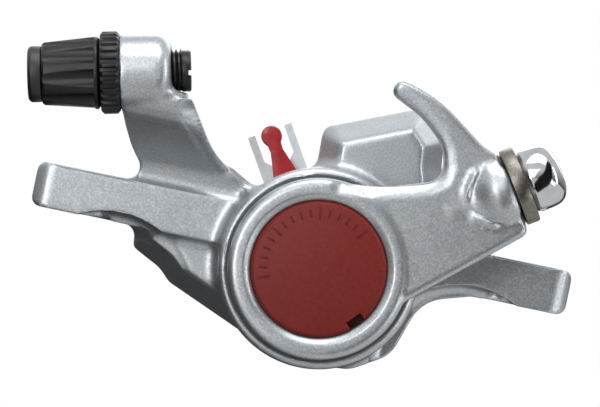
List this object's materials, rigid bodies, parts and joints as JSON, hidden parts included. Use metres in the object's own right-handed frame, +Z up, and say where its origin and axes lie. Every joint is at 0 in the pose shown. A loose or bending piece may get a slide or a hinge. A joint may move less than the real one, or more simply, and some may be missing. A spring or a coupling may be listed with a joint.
{
  "type": "disc brake caliper",
  "caption": "Mechanical disc brake caliper: a cast body bolts to posts by slotted ears, and a cable arm with a ramp cam presses pads on a rotor.",
  "frame": {"origin": "on the ears' seating face, midway between the two mounting slots", "axes": "+X along the ears to the side away from the cable stop, +Y inboard towards the wheel, +Z up from the seating face"},
  "size_m": [0.1017, 0.055, 0.0527],
  "materials": {
    "cast_body": "satin silver paint on a casting",
    "cast_arm": "satin silver paint on a casting",
    "dark_steel": "black oxide",
    "bare_steel": "bare, warm grey",
    "bright_steel": "bright, smooth",
    "bronze": "plain bearing bronze",
    "seal_rubber": "matt",
    "red_plate": "glossy red paint",
    "friction_lining": "sintered metal, rough",
    "red_plastic": "satin brick red",
    "black_metal": "black anodised, satin",
    "black_plastic": "satin black"
  },
  "bodies": {
    "body": {"outer_half": "cast_body", "inner_half": "cast_body", "body_bolts": "dark_steel", "ball_race": "bare_steel", "shaft_bush": "bronze", "dust_seal": "seal_rubber", "return_spring": "bright_steel", "pad_clip": "bright_steel", "knob_detent": "bright_steel"},
    "piston": {"pressure_foot": "bare_steel", "thrust_washer": "bronze", "outer_pad_plate": "red_plate", "outer_pad_lining": "friction_lining"},
    "arm": {"torque_arm": "cast_arm", "drive_cam": "bare_steel", "arm_bolt": "dark_steel", "arm_washer": "bare_steel", "arm_cap": "red_plastic", "clamp_washer": "bare_steel", "clamp_bolt": "bright_steel"},
    "ball_set": {"balls": "bright_steel"},
    "inner_pad": {"inner_pad_plate": "red_plate", "inner_pad_lining": "friction_lining", "adjuster_foot": "bare_steel"},
    "knob": {"adjuster_screw": "bare_steel", "adjust_knob": "red_plastic"},
    "collar": {"barrel_collar": "black_plastic"},
    "barrel": {"barrel_adjuster": "black_metal"},
    "ring": {"lock_ring": "black_metal"}
  },
  "joints": [
    {"name": "piston_slide", "type": "slide", "parent": "body", "child": "piston", "axis": [0, 1, 0], "range_m": [0, 0.0012], "deforming": ["pad_clip"]},
    {"name": "arm_turn", "type": "hinge", "parent": "piston", "child": "arm", "pos_m": [0.004, -0.01855, -0.0007], "axis": [0, -1, 0], "range_deg": [0, 34], "stiffness_Nm_per_rad": 0.25, "springref_deg": -17.19, "deforming": ["return_spring"]},
    {"name": "ball_roll", "type": "hinge", "parent": "body", "child": "ball_set", "pos_m": [0.004, -0.0026, -0.0007], "axis": [0, -1, 0], "range_deg": [0, 17]},
    {"name": "pad_adjust", "type": "slide", "parent": "body", "child": "inner_pad", "axis": [0, -1, 0], "range_m": [-0.00025, 0.001]},
    {"name": "knob_turn", "type": "hinge", "parent": "inner_pad", "child": "knob", "pos_m": [0.004, 0.027, -0.0007], "axis": [0, -1, 0], "range_deg": [-90, 360]},
    {"name": "barrel_slide", "type": "slide", "parent": "body", "child": "collar", "axis": [-0.9744, 0, -0.225], "range_m": [0, 0.003]},
    {"name": "barrel_turn", "type": "hinge", "parent": "collar", "child": "barrel", "pos_m": [-0.0369, -0.01855, 0.0258], "axis": [-0.9744, 0, -0.225], "range_deg": [0, 1080]},
    {"name": "ring_turn", "type": "hinge", "parent": "body", "child": "ring", "pos_m": [-0.0369, -0.01855, 0.0258], "axis": [-0.9744, 0, -0.225], "range_deg": [0, 50]}
  ],
  "couplings": [
    {"joint": "piston_slide", "follows": "arm_turn", "m_per_rad": 0.0020222},
    {"joint": "ball_roll", "follows": "arm_turn", "ratio": 0.5},
    {"joint": "knob_turn", "follows": "pad_adjust", "rad_per_m": 6283.1},
    {"joint": "barrel_turn", "follows": "barrel_slide", "rad_per_m": 6283.1}
  ]
}
